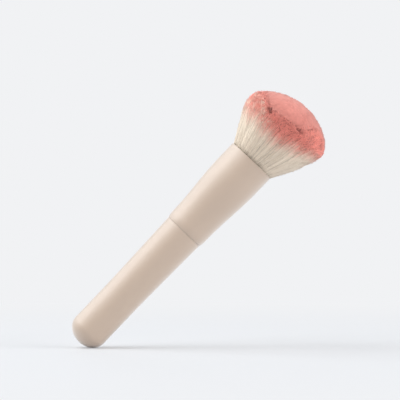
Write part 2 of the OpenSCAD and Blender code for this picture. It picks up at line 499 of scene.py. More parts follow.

# The angle, in degrees, of the front, where the lamps' light grazes the hair and the most shade is painted in
SHADED_SIDE_ANGLE = -95

# The head's side, from the mouth to the rim, as radius and height in millimetres
SIDE_CURVE = np.array([[11.0, MOUTH_Z], [12.85, MOUTH_Z + 3.0], [21.2, RIM_Z - 6.8], [HEAD_R, RIM_Z]])

# Where the powder's cap ends: the angle in degrees, and the place on the head's curve there, which is 1 at
# the rim and 2 at the top. Angle 0 leans over the floor and -90 is the front
CAP_EDGE = np.array(
    [(-180, 1.3), (-164, 1.26), (-156, 1.22), (-142, 1.15), (-128, 1.04), (-119, 0.99), (-110, 1.02)]
    + [(-101, 1.05), (-89, 1.09), (-76, 1.1), (-69, 1.23), (-60, 1.37), (-46, 1.47), (-29, 1.43)]
    + [(-10, 1.25), (20, 1.2), (70, 1.27), (115, 1.2), (150, 1.28)]
)

# The dome's outline is a quarter of a superellipse, whose power of a little under 2 draws its shoulders in
DOME_POWER = 1.82

# Millimetres of hair surface for each step of one along the head's curve
CURVE_MM = 25.0

# Cracks along the cap's edge: angle and width in degrees, and depth as a share
CAP_CRACKS = [(-100, 10, 0.05), (-58, 12, 0.25), (-150, 12, 0.15), (60, 22, 0.2), (140, 16, 0.25)]

# Round pits and hollows in the hair near that edge: angle in degrees, place on the head's curve, radius in
# millimetres, and depth as a share
PITS = [
    (-121.5, 0.985, 1.1, 1.0),
    (-117.5, 0.935, 0.95, 1.0),
    (-113, 1.03, 0.5, 0.5),
    (-99, 1.06, 0.5, 0.4),
    (-88, 1.01, 0.4, 0.4),
    (-73, 1.115, 1.15, 1.0),
    (-77.5, 1.09, 0.8, 0.8),
    (-69, 1.16, 0.8, 0.8),
    (-84, 0.98, 3.6, 0.12),
]

# How far short hairs sink in the deepest crack or pit, in millimetres, and how much painted shade darkens
# hair there
CRACK_SINK = 2.0
PAINTED_CRACK_SHADE = 0.9

# The edge of the dye: its plain height at the front, in millimetres from the tip of the butt, half the
# length of the blend across it, its tongues, as angle and width in degrees and millimetres up, and the
# scatter of single hairs
DYE_Z = 129.0
DYE_BLEND = 5.0
DYE_TONGUES = [(-126, 7, 1.6), (-108, 6, -0.3), (-89, 7, -0.9), (-61, 8, 0.9)]
DYE_SCATTER = 1.2

# How much of the powder's tint, and how much brightness, the cap loses where the powder is thin, partly as
# painted shade
THIN_FADE = 0.3
THIN_TONE_AND_SHADE = 0.27

# Sine waves in a patch of noise
NOISE_WAVES = 24


def side_curve(t):
    """Radius and height on the head's side, a share t of the way from the mouth to the rim: a cubic curve."""
    t = np.asarray(t, float)[..., None]
    weights = [(1 - t) ** 3, 3 * t * (1 - t) ** 2, 3 * t**2 * (1 - t), t**3]
    return sum(w * p for w, p in zip(weights, SIDE_CURVE))


def head_curve(u):
    """Radius and height on the head's outline: from the mouth to the rim while u goes from 0 to 1, and over
    the dome's quarter superellipse to its top while it goes on to 2."""
    a = np.pi / 2 * (np.clip(u, 1, 2) - 1)
    power = 2 / DOME_POWER
    dome = np.stack([HEAD_R * np.cos(a) ** power, RIM_Z + DOME_H * np.sin(a) ** power], -1)
    return np.where((u < 1)[..., None], side_curve(np.clip(u, 0, 1)), dome)


def outline_normal(radius, height):
    """Outward direction of the head's outline near a point, as its parts across and along the axis: square
    to the side's curve below the rim, and the gradient of the dome's superellipse above it."""
    steps = 200
    path = side_curve(np.linspace(0, 1, steps))
    slope = np.gradient(path[:, 0]) / np.gradient(path[:, 1])
    below = height < RIM_Z
    rise = np.clip((height - RIM_Z) / DOME_H, 0, 1)
    power = DOME_POWER - 1
    across = np.where(below, 1.0, np.clip(radius / HEAD_R, 0, 1) ** power / HEAD_R)
    along = np.where(below, -np.interp(height, path[:, 1], slope), rise**power / DOME_H)
    size = np.hypot(across, along)
    return across / size, along / size


def lifted(path, lift):
    """Radius and height of places on the head's outline, each moved outwards by its lift."""
    across, along = outline_normal(path[..., 0], path[..., 1])
    return path[..., 0] + lift * across, path[..., 1] + lift * along


def dome_height(share):
    """Height of the domed end where the radius is a share of the head's radius: a quarter superellipse."""
    return RIM_Z + DOME_H * np.clip(1 - share**DOME_POWER, 0, 1) ** (1 / DOME_POWER)


def settled(points):
    """The head's points pushed a little off the axis, as soft hair settles: to one side above the mouth
    and to the other in the dome, each by an S-shaped curve of the height, and slightly oval."""
    z = points[..., 2]
    root_shift, neck_shift, dome_shift, narrowed = 0.25, 0.5, 2.05, 0.018
    shift = root_shift + dome_shift * smooth_step(130, 148, z) - neck_shift * smooth_step(125, 131, z)
    oval = 1 - narrowed * smooth_step(MOUTH_Z, RIM_Z, z)
    return np.stack([points[..., 0] + shift, points[..., 1] * oval, z], -1)


def waves(angle, seed, lowest, highest):
    """A smooth ring of noise: sine waves of lowest to highest turns round, each with a random size and
    phase, and about one high and deep in all."""
    rng = np.random.default_rng(seed)
    turns = np.arange(lowest, highest + 1)
    phase = rng.uniform(0, 2 * np.pi, len(turns))
    size = rng.normal(0, 1, len(turns)) / math.sqrt(len(turns))
    return np.sin(angle[..., None] * turns + phase) @ size


def noise_rates(seed, spacing):
    """Rates of change across and along, and phases, of sine waves that run every way, a spacing in
    millimetres or more from crest to crest."""
    rng = np.random.default_rng(seed)
    way = rng.uniform(0, 2 * np.pi, NOISE_WAVES)
    rate = 2 * np.pi / spacing * rng.uniform(0.35, 1.0, NOISE_WAVES)
    phase = rng.uniform(0, 2 * np.pi, NOISE_WAVES)
    return rate * np.cos(way), rate * np.sin(way), phase


def noise(x, y, x_rates, y_rates, phases):
    """Sum of sine waves over x and y, with a spread of about one."""
    total = sum(np.sin(n * x + k * y + p) for n, k, p in zip(x_rates, y_rates, phases))
    return total / math.sqrt(NOISE_WAVES / 2)


def ripples(angle, height, seed, spacing):
    """Smooth noise over the head's side, whose waves each have whole turns round the axis."""
    across, climb, phase = noise_rates(seed, spacing)
    return noise(angle, height, np.round(HEAD_R * across), climb, phase)


def mottle(angle, radius, seed, spacing):
    """Smooth noise over the dome as seen along the axis."""
    return noise(radius * np.cos(angle), radius * np.sin(angle), *noise_rates(seed, spacing))


def shaded_side(angle):
    """How much an angle faces the front, where the light grazes and most shade is painted, from nothing to
    one.
    """
    return np.clip(np.cos(angle - np.radians(SHADED_SIDE_ANGLE)), 0, 1) ** 3


def nearest_tuft(angle):
    """The nearest tuft to each angle and the signed turn from the angle to it."""
    turn = (TUFT_ANGLES - angle[..., None] + np.pi) % (2 * np.pi) - np.pi
    tuft = np.abs(turn).argmin(-1)
    return tuft, np.take_along_axis(turn, tuft[..., None], -1)[..., 0]


def bells(angle, table):
    """Sum of bell curves round the head, each from a row of angle and width, in degrees, and height."""
    place, width, size = np.array(table, float).T
    turned_by = (np.degrees(angle)[..., None] - place + 180) % 360 - 180
    return np.exp(-((turned_by / width) ** 2)) @ size


def dyed(height, angle, scatter):
    """How coral a point of hair is: none well below an uneven edge round the head, all of it well above,
    and an S-shaped blend between. The edge is higher where the head leans over, and scatter moves it for
    each hair."""
    lean = np.cos(angle)
    edge = DYE_Z + 1.6 * lean**2 + 7.2 * np.clip(lean, 0, 0.8) ** 2
    edge = edge + 0.6 * waves(angle, seed=5, lowest=3, highest=16)
    edge = edge + bells(angle, DYE_TONGUES)
    return smooth_step(-DYE_BLEND, DYE_BLEND, height - edge - scatter)


def cap_edge(angle):
    """The ragged edge of the powder's cap at an angle, as a place on the head's curve."""
    edge = np.interp(np.degrees(angle), CAP_EDGE[:, 0], CAP_EDGE[:, 1], period=360)
    ragged = 0.014 * waves(angle, seed=7, lowest=20, highest=70)
    return edge + ragged + 0.01 * waves(angle, seed=8, lowest=70, highest=160)


def crack_depth(angle):
    """How deep the cap's edge is cracked at an angle: thinly all round, and a bell curve for each crack."""
    thin = 0.04 + 0.1 * waves(angle, seed=9, lowest=12, highest=50)
    return np.clip(thin + bells(angle, CAP_CRACKS), 0, 1)


def cap_and_crack(angle, u):
    """How much a place on the head's curve belongs to the powder's cap, and how deep it lies in the crack
    round the cap or in a pit, each from nothing to one."""
    inside = CURVE_MM * (u - cap_edge(angle))
    depth = crack_depth(angle)
    crack = depth * np.exp(-((inside / (0.35 + 0.45 * depth)) ** 2))
    for pit_angle, pit_place, pit_radius, pit_depth in PITS:
        across = HEAD_R * ((angle - math.radians(pit_angle) + np.pi) % (2 * np.pi) - np.pi)
        along = CURVE_MM * (u - pit_place)
        pit = pit_depth * np.exp(-(((across**2 + along**2) / pit_radius**2) ** 1.5))
        crack = np.maximum(crack, pit)
    return smooth_step(-0.3, 0.4, inside), crack


def clean_tuft(angle, u):
    """How much a place belongs to a tuft of clean hairs that slants down over the dyed side: a bell curve
    across a slanting line."""
    start_angle, start_place, slant, width = 141, 1.14, 69, 5
    return np.exp(-(((np.degrees(angle) + start_angle - slant * (start_place - u)) / width) ** 2))


def thin_powder_and_shade(angle, radius):
    """How thinly the powder lies on the cap, which also sets the painted shade of the side turned from the
    lamps:
    not at all on the raised side, a little more towards the middle, most of all along a ragged line beyond
    it, and still thinly past that line."""
    line_place, line_width = 3.0, 1.5
    across = radius * np.cos(angle) - 0.6 * mottle(angle, radius, seed=51, spacing=5.0)
    line = np.exp(-(((across - line_place) / line_width) ** 2))
    return 0.4 * smooth_step(-15, 2, across) + 0.15 * smooth_step(2.5, 5.5, across) + 0.8 * line


def strand_mesh(centres, radii, rng):
    """Three-sided tubes along many paths at once, with the outward direction at each point. centres is
    hairs by rings by 3, in the upright brush's millimetres, and radii is hairs by rings. Each ring is
    square to the path, and both ends are closed."""
    hairs, rings, _ = centres.shape
    along = np.gradient(centres, axis=1)
    along /= np.linalg.norm(along, axis=2, keepdims=True)
    turn = rng.uniform(0, 2 * np.pi, (hairs, 1))
    level = np.stack([np.cos(turn), np.sin(turn), np.zeros_like(turn)], -1)
    out = level - along * np.sum(level * along, axis=2, keepdims=True)
    out /= np.linalg.norm(out, axis=2, keepdims=True)
    side = np.cross(along, out)
    corner = 2 * np.pi * np.arange(3)[:, None] / 3
    spokes = out[:, :, None, :] * np.cos(corner) + side[:, :, None, :] * np.sin(corner)
    ring = centres[:, :, None, :] + radii[:, :, None, None] * spokes
    first = (np.arange(hairs) * rings * 3)[:, None, None]
    last = (rings - 1) * 3
    ends = np.array([[0, 2, 1], [last, last + 1, last + 2]])
    triangles = first + np.concatenate([grid_triangles(rings, 3), ends])[None]
    return ring.reshape(-1, 3), triangles.reshape(-1, 3), spokes.reshape(-1, 3)


def soft_normals(points, spokes):
    """Shading directions of hairs: mostly square to the head's outline and for the rest square to the hair
    itself, so that the head shades as one soft form."""
    head_share = 0.75
    radius = np.hypot(points[:, 0], points[:, 1]) + 0.001
    across, along = outline_normal(radius, points[:, 2])
    head = np.stack([across * points[:, 0] / radius, across * points[:, 1] / radius, along], -1)
    mixed = head_share * head + (1 - head_share) * spokes
    mixed /= np.linalg.norm(mixed, axis=1, keepdims=True)
    return mixed[:, 0:1] * ACROSS + mixed[:, 1:2] * SIDE + mixed[:, 2:3] * AXIS


def add_hair(name, points, triangles, tint, shade, normals=None):
    """Makes one piece of hair, with a tint and a shade for each point, and puts it on the frame."""
    values = {"tint": tint, "shade": np.clip(shade, 0, 1)}
    piece = mesh_piece(name, placed(settled(points)), triangles, values=values, normals=normals)
    piece.data.materials.append(hair_material(settings()[2]))
    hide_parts("bristles")
    return piece


def add_strands(name, centres, radii, tint, shade, rng):
    """Makes one piece of separate hairs, whose radii, tint and shade are given for each hair and ring."""
    shape = centres.shape[:2]
    points, triangles, spokes = strand_mesh(centres, np.broadcast_to(radii, shape), rng)
    tint, shade = (np.repeat(np.broadcast_to(value, shape).ravel(), 3) for value in (tint, shade))
    return add_hair(name, points, triangles, tint, shade, soft_normals(points, spokes))


class BRUSH_OT_stage(bpy.types.Operator):
    """Adds the pale floor, the soft lamps, the surroundings and the camera"""

    bl_idname = "brush.stage"
    bl_label = "Stage"

    def execute(self, context):
        stage = settings()[0]
        self.add_camera(stage)
        self.add_floor(stage)
        self.add_lamps(stage)
        self.set_world(stage)
        context.scene.view_settings.view_transform = "Standard"
        return {"FINISHED"}

    def add_camera(self, stage):
        """A level camera in front of the brush, looking along +Y."""
        data = bpy.data.cameras.new("camera")
        data.angle = stage.field_of_view
        camera = bpy.data.objects.new("camera", data)
        camera.location = (stage.camera_across, -stage.camera_distance, stage.camera_height)
        camera.rotation_euler = (math.pi / 2, 0, 0)
        bpy.context.scene.collection.objects.link(camera)
        bpy.context.scene.camera = camera

    def add_floor(self, stage):
        """A round floor as rings round its centre; it turns into the plain background away from the brush."""
        columns, rings = 96, 24
        radius = np.linspace(0, 1, rings + 1)[1:, None] ** 2 * stage.floor_radius
        points = around(radius, 2 * np.pi * np.arange(columns) / columns, 0.0).reshape(-1, 3)
        triangles = grid_triangles(rings, columns)[:, ::-1]
        here = np.arange(columns)
        middle = np.stack([np.full(columns, len(points)), here, (here + 1) % columns], -1)
        points = np.concatenate([points, [[0, 0, 0]]])
        mesh = bpy.data.meshes.new("floor")
        mesh.from_pydata(points.tolist(), [], np.concatenate([triangles, middle]).tolist())
        floor = bpy.data.objects.new("floor", mesh)
        bpy.context.scene.collection.objects.link(floor)
        floor.data.materials.append(self.floor_material(stage))

    def floor_material(self, stage):
        """Smooth white board, matte, which keeps the shadow and fades into the surroundings."""
        fade_start, fade_end = 0.1, 0.45
        material, tree, output = new_material("white board")
        place = node(tree, "ShaderNodeTexCoord").outputs["Object"]
        away = node(tree, "ShaderNodeVectorMath", [(0, place)], operation="LENGTH").outputs["Value"]
        fade = node(
            tree,
            "ShaderNodeMapRange",
            [("Value", away)],
            interpolation_type="SMOOTHSTEP",
            From_Min=fade_start,
            From_Max=fade_end,
            To_Min=0.3,
        )
        rays = node(tree, "ShaderNodeLightPath")
        links = [(0, fade.outputs["Result"]), (1, rays.outputs["Is Camera Ray"])]
        seen = node(tree, "ShaderNodeMath", links, operation="MULTIPLY")
        board = node(
            tree,
            "ShaderNodeBsdfPrincipled",
            Base_Color=colour4(linear("#CCCDD0")),
            Roughness=0.55,
            Specular_IOR_Level=0.2,
        )
        pale = node(tree, "ShaderNodeEmission", Color=colour4(stage.pale), Strength=1.0)
        links = [("Fac", seen.outputs["Value"]), (1, board.outputs["BSDF"]), (2, pale.outputs["Emission"])]
        mixed = node(tree, "ShaderNodeMixShader", links)
        tree.links.new(mixed.outputs["Shader"], output.inputs["Surface"])
        return material

    def add_lamps(self, stage):
        """Two big soft lamps up on the left, one of them nearer to the front, and one low on the right."""
        left = self.add_lamp("left lamp", stage, stage.left_power, elevation=50, azimuth=165, size=2.2)
        left.color = (0.93, 0.98, 1.0)
        self.add_lamp("front lamp", stage, stage.front_power, elevation=55, azimuth=213, size=2.2)
        self.add_lamp("right lamp", stage, stage.right_power, elevation=18, azimuth=-18, size=1.4)

    def add_lamp(self, name, stage, power, elevation, azimuth, size):
        """A square lamp that looks at the brush from an elevation above the floor and an azimuth, both in
        degrees, counted from +X towards +Y."""
        data = bpy.data.lights.new(name, "AREA")
        data.shape = "SQUARE"
        data.size = size
        data.energy = power
        up, turn = math.radians(elevation), math.radians(azimuth)
        way = Vector((math.cos(up) * math.cos(turn), math.cos(up) * math.sin(turn), math.sin(up)))
        lamp = bpy.data.objects.new(name, data)
        lamp.location = Vector((0, 0, cad_box[1][2] / 2)) + stage.lamp_distance * way
        lamp.rotation_euler = way.to_track_quat("Z", "Y").to_euler()
        bpy.context.scene.collection.objects.link(lamp)
        return data

    def set_world(self, stage):
        """Even light from all round, which camera, glossy and see-through rays see as the background."""
        world = bpy.data.worlds.new("surroundings")
        world.use_nodes = True
        tree = world.node_tree
        tree.nodes.clear()
        output = tree.nodes.new("ShaderNodeOutputWorld")
        rays = node(tree, "ShaderNodeLightPath")
        links = [(0, rays.outputs["Is Camera Ray"]), (1, rays.outputs["Is Glossy Ray"])]
        first = node(tree, "ShaderNodeMath", links, operation="MAXIMUM")
        links = [(0, first.outputs["Value"]), (1, rays.outputs["Is Transmission Ray"])]
        seen = node(tree, "ShaderNodeMath", links, operation="MAXIMUM")
        even = node(tree, "ShaderNodeBackground", Color=(0.97, 0.985, 1.0, 1.0), Strength=stage.ambient)
        pale = node(tree, "ShaderNodeBackground", Color=colour4(stage.pale), Strength=1.0)
        links = [
            ("Fac", seen.outputs["Value"]),
            (1, even.outputs["Background"]),
            (2, pale.outputs["Background"]),
        ]
        mixed = node(tree, "ShaderNodeMixShader", links)
        tree.links.new(mixed.outputs["Shader"], output.inputs["Surface"])
        bpy.context.scene.world = world


class BRUSH_OT_casings(bpy.types.Operator):
    """Turns the handle and the ferrule as smooth coated shells"""

    bl_idname = "brush.casings"
    bl_label = "Handle and ferrule"

    def execute(self, context):
        material = coated_material(settings()[1])
        pieces = (
            ("handle_shell", handle_profile(), False, "handle", "handle_paint"),
            ("ferrule_shell", ferrule_profile(), True, "ferrule", "ferrule_paint"),
        )
        for name, profile, closed_loop, cad_node, slot in pieces:
            points, triangles = turned(profile, closed_loop)
            piece = mesh_piece(name, placed(points), triangles, sharp_angle=math.radians(40))
            piece.data.materials.append(material)
            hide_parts(cad_node)
        return {"FINISHED"}


class BRUSH_OT_inner_pieces(bpy.types.Operator):
    """Gives the hidden pieces inside the handle and the ferrule their materials"""

    bl_idname = "brush.inner_pieces"
    bl_label = "Inner pieces"

    def execute(self, context):
        finishes = {
            # Bare metal off the lathe: grey, with a satin gloss
            "balance_weight": plain_material("turned mild steel", "#8F9498", 0.38, 0.3 * MM, Metallic=1.0),
            # Dull and nearly black, with hardly a highlight
            "weight_stopper": plain_material("moulded black rubber", "#2C2C2E", 0.8, 0.25 * MM),
            # Even off-white with the soft gloss of an uncoated moulding
            "spigot": plain_material("moulded white ABS", "#DCDDDD", 0.45, 0.4 * MM),
            # Glossy and honey-coloured, a little cloudy
            "root_resin": plain_material("cast amber epoxy", "#C49A52", 0.2, 1.5 * MM),
            # Off-white and matte, with the fine grain of its fibres
            "root_binding": plain_material("waxed cotton thread", "#EDE6D8", 0.75, 0.1 * MM),
        }
        for name, material in finishes.items():
            slots = frame["nodes"][name].data.materials
            slots.clear()
            slots.append(material)
        return {"FINISHED"}


class BRUSH_OT_hair_mass(bpy.types.Operator):
    """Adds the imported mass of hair, with its powdered cap, under the separate hairs"""

    bl_idname = "brush.hair_mass"
    bl_label = "Hair mass"

    def execute(self, context):
        columns, side_rows, dome_rows = 384, 120, 112
        root_depth, root_inset, top_drop, top_shade = 4.0, 1.6, 0.12, 0.88
        angle = 2 * np.pi * np.arange(columns) / columns - np.pi
        _, turn = nearest_tuft(angle)
        valley = np.clip(np.abs(turn) / (np.pi / TUFTS), 0, 1.3) ** 2 * (0.45 + 0.55 * shaded_side(angle))
        streak = np.clip(waves(angle, seed=11, lowest=60, highest=180), -1.5, 1.5)

        side_u = np.linspace(0, 1, side_rows)
        u = np.concatenate([side_u, np.linspace(1, 2, dome_rows + 2)[1:-1]])[:, None]
        path = head_curve(u)
        angles = angle[None, :]
        cap, crack = cap_and_crack(angles, u)
        low = 1 - smooth_step(0.1, 0.6, u)
        near_rim = np.exp(-(((u - 1) / 0.3) ** 2))
        drop = 0.02 + 0.4 * (1 - cap) + 0.1 * cap * near_rim + 1.8 * crack
        drop = drop + 0.75 * (1 - smooth_step(0, 0.2, u)) + 0.35 * valley * low + 0.05 * streak * (u < 1)
        radius, height = lifted(path, -drop)

        thin = thin_powder_and_shade(angles, path[..., 0])
        tint = dyed(height, angles, 0.5 * streak) * (1 + cap * (1 - THIN_FADE * thin))
        clump = ripples(angles, 0.45 * path[..., 1], seed=44, spacing=1.5)
        # Painted shade under the side hairs, darkest near the mouth and between the tufts at the front, and
        # partly in the hollows between clumps
        side_shade = 0.55 + 0.1 * streak - 0.35 * low * valley + (1 - low) * (0.32 + 0.12 * clump)
        smudge = 0.03 * mottle(angles, path[..., 0], seed=52, spacing=3.0)
        smudge = smudge + 0.03 * mottle(angles, path[..., 0], seed=53, spacing=1.3)
        # Painted shade outside the cap, under the loose hair, and partly where the powder is thin on the side
        # away from the lamps; the smudges are the powder's own tone
        dome_shade = 0.95 - 0.12 * (1 - cap) + (smudge - THIN_TONE_AND_SHADE * thin) * cap
        # Painted shade in every crack, pit and hollow
        shade = np.where(u < 1, side_shade, dome_shade) - PAINTED_CRACK_SHADE * crack

        root_z = MOUTH_Z - root_depth
        root = around(path[0, 0, 0] - root_inset, angle, np.full((1, 1), root_z))
        grid = np.concatenate([root, around(radius, angle, height)])
        poles = [[0, 0, root_z], [0, 0, dome_height(0) - top_drop]]
        points = np.concatenate([grid.reshape(-1, 3), poles])
        triangles = [grid_triangles(len(grid), columns), pole_triangles(len(grid), columns)]
        # The ring and pole inside the ferrule are painted fully in shade
        tint = np.concatenate([np.zeros(columns), tint.ravel(), [0, 2]])
        shade = np.concatenate([np.zeros(columns), shade.ravel(), [0, top_shade]])
        add_hair("hair_mass", points, np.concatenate(triangles), tint, shade)
        return {"FINISHED"}


class BRUSH_OT_side_hair(bpy.types.Operator):
    """Adds the long hairs that flare from the mouth to the rim"""

    bl_idname = "brush.side_hair"
    bl_label = "Side hair"

    def execute(self, context):
        hair = settings()[2]
        pieces, rings = 2, 11
        rooted_depth, mouth_clearance, most_inset = 3.0, 0.14, 0.5
        count = hair.side_hairs // pieces
        rng = np.random.default_rng(seed=21)
        tuft_out = rng.normal(0, 0.07, TUFTS)
        tuft_shade = rng.normal(0, 0.05, TUFTS)
        t = np.linspace(0, 1, rings)[None, :]
        for number in range(pieces):
            start = rng.uniform(-np.pi, np.pi, count)
            depth = rng.uniform(0, 1, count) ** 1.5
            tuft, towards = nearest_tuft(start)
            gather = 0.5 * smooth_step(0.0, 0.1, t) * (1 - 0.8 * smooth_step(0.25, 0.75, t))
            wander = rng.normal(0, 0.014, (count, 1)) * t + rng.normal(0, 0.012, (count, 1)) * t**3
            angle = start[:, None] + towards[:, None] * gather + wander
            reach = np.minimum(rng.uniform(0.8, 1.02, count), cap_edge(start) - 0.08)
            path = side_curve(reach[:, None] * t)
            radius = path[..., 0] - most_inset * depth[:, None]
            radius = radius + tuft_out[tuft][:, None] * smooth_step(0, 0.3, t)
            radius = radius + rng.normal(0, 0.06, (count, 1)) * t
            height = path[..., 1] - rooted_depth * (1 - t) ** 8
            mouth_r = BAND_R - FERRULE_WALL - mouth_clearance
            radius = np.where(height < MOUTH_Z, np.minimum(radius, mouth_r), radius)
            width = hair.thickness / MM / 2 * (1 - 0.6 * smooth_step(0.8, 1.0, t))
            tint = dyed(height, angle, rng.normal(0, DYE_SCATTER, (count, 1)))
            front = shaded_side(start)
            # Painted shade on the deeper hairs, strongest at the front where the light grazes; the tufts' and
            # single hairs' own tones vary most there too, partly as painted shade
            single = 0.97 - 0.3 * depth * (0.6 + 0.4 * front) + tuft_shade[tuft] * (0.5 + 0.5 * front)
            single = single + (0.03 + 0.1 * front) * rng.normal(0, 1, count)
            single = single - 0.45 * (rng.uniform(0, 1, count) < 0.02 + 0.09 * front)
            # Painted shadow of the ferrule's lip at the mouth, strongest at the front and varying by tuft
            mouth = 0.42 + 0.42 * front[:, None] + 5 * tuft_shade[tuft][:, None]
            shade = single[:, None] - mouth * (1 - smooth_step(0, 1.5, height - MOUTH_Z))
            add_strands(f"side_hair_{number + 1}", around(radius, angle, height), width, tint, shade, rng)
        return {"FINISHED"}


class BRUSH_OT_tousled_hair(bpy.types.Operator):
    """Adds the short hairs that lie every way round the rim, up to the edge of the powder's cap"""

    bl_idname = "brush.tousled_hair"
    bl_label = "Tousled hair"

    def execute(self, context):
        hair = settings()[2]
        pieces, rings = 2, 5
        lowest, root_sink, front_angle = 0.62, 0.55, -70
        count = hair.tousled_hairs // pieces
        rng = np.random.default_rng(seed=27)
        t = np.linspace(0, 1, rings)[None, :]
        for number in range(pieces):
            angle = rng.uniform(-np.pi, np.pi, (count, 1))
            top = cap_edge(angle)
            end = lowest + (top - lowest) * rng.uniform(0, 1, (count, 1)) ** 0.75
            length = rng.uniform(0.08, 0.16, (count, 1))
            place = end - length * (1 - t)
            path = head_curve(place)
            middle = head_curve(end)[..., 1]
            below_cap = (top - end) * CURVE_MM
            sway = 0.4 * ripples(angle, middle, seed=41, spacing=5.0) + rng.normal(0, 0.22, (count, 1))
            turned_by = sway * length * CURVE_MM * t**1.5 / path[..., 0]
            clump = ripples(angle, 0.45 * middle, seed=44, spacing=1.5)
            shoulder = smooth_step(RIM_Z + 2, RIM_Z + 7, middle)
            rise = np.clip(0.12 + 0.18 * clump + rng.normal(0, 0.08, (count, 1)), 0, 0.6)
            rise = rise * (1 - 0.8 * shoulder)
            loose = rng.uniform(0, 1, (count, 1)) > 0.9
            rise = (rise + loose * rng.uniform(0.1, 0.7, (count, 1))) * smooth_step(0.3, 3.0, below_cap)
            _, crack = cap_and_crack(angle + turned_by, place)
            sunk = 0.2 * (1 - smooth_step(0.5, 3.0, below_cap)) + CRACK_SINK * crack
            radius, height = lifted(path, -root_sink - sunk + (root_sink + rise) * t**1.5)
            width = hair.thickness / MM / 2 * (1 - 0.6 * smooth_step(0.5, 1.0, t)) * (1 - 0.35 * loose)

            over_rim = smooth_step(RIM_Z + 1, RIM_Z + 5, middle)
            dust = 0.3 - 0.45 * np.cos(angle) + 0.3 * ripples(angle, middle, seed=43, spacing=6.0)
            dust = np.clip(dust, 0, 1) * smooth_step(RIM_Z - 4, RIM_Z + 2, middle)
            dye = dyed(height, angle, rng.normal(0, DYE_SCATTER, (count, 1)))
            front = np.clip(np.cos(angle - np.radians(front_angle)), 0, 1) ** 3 * (1 - over_rim)
            raised = np.clip(-np.cos(angle), 0, 1)
            # Painted shade on the lower side, which hangs over the floor away from the lamps
            lower_side_shade = np.clip(np.cos(angle), 0, 1) * (0.18 + 0.1 * over_rim)
            shade = 1.02 + rng.normal(0, 0.08, (count, 1))
            # Painted light and shade: lighter on the raised side towards the lamps, darker at the front where
            # the light grazes and on the lower side, and clumps lighter than their hollows, partly their own
            # tone
            shade = shade + (0.2 * clump - 0.11 * front + 0.08 * raised - lower_side_shade) * dye
            # Single dark hairs, more of them at the front as painted shade
            shade = shade - 0.5 * dye * (rng.uniform(0, 1, (count, 1)) < 0.06 + 0.12 * front)
            # Painted shade in cracks and pits and towards each hair's root
            shade = (shade - PAINTED_CRACK_SHADE * crack) * (0.88 + 0.12 * t)
            patches = smooth_step(0.0, 1.3, ripples(angle, middle, seed=45, spacing=4.0))
            # Less dye on the raised side, partly real bare patches and partly painted light where the lamps
            # fall
            bare = raised * (0.32 + 0.4 * patches) + 0.4 * clean_tuft(angle, end)
            tint = dye * (1 - np.clip(bare, 0, 0.9)) * (1 + dust)
            centres = around(radius, angle + turned_by, height)
            add_strands(f"tousled_hair_{number + 1}", centres, width, tint, shade, rng)
        return {"FINISHED"}


class BRUSH_OT_edge_hair(bpy.types.Operator):
    """Adds the ragged ends along the edge of the powder's cap, some dark as painted shade of the crease and
    some bright
    """

    bl_idname = "brush.edge_hair"
    bl_label = "Edge hair"

    def execute(self, context):
        hair = settings()[2]
        count, rings = hair.edge_hairs, 4
        root_sink = 0.5
        rng = np.random.default_rng(seed=37)
        t = np.linspace(0, 1, rings)[None, :]
        angle = rng.uniform(-np.pi, np.pi, (count, 1))
        end = cap_edge(angle) + rng.normal(0, 0.02, (count, 1))
        length = rng.uniform(0.04, 0.08, (count, 1))
        place = end - length * (1 - t)
        path = head_curve(place)
        turned_by = rng.normal(0, 0.9, (count, 1)) * length * CURVE_MM * t / path[..., 0]
        _, crack = cap_and_crack(angle + turned_by, place)
        stands_off = rng.uniform(0, 0.3, (count, 1))
        radius, height = lifted(path, -root_sink + (root_sink + stands_off) * t - CRACK_SINK * crack)
        # Dark ends, more where the edge cracks deeper, are painted shade of the crease
        dark = rng.uniform(0, 1, (count, 1)) < 0.05 + 0.6 * crack_depth(angle)
        shade = np.where(dark, 0.4, 1.0) - PAINTED_CRACK_SHADE * crack + rng.normal(0, 0.08, (count, 1))
        width = hair.thickness / MM / 2 * (1 - 0.5 * t**3)
        centres = around(radius, angle + turned_by, height)
        add_strands("edge_hair", centres, width, 1 + 0.5 * (1 - dark), shade, rng)
        return {"FINISHED"}


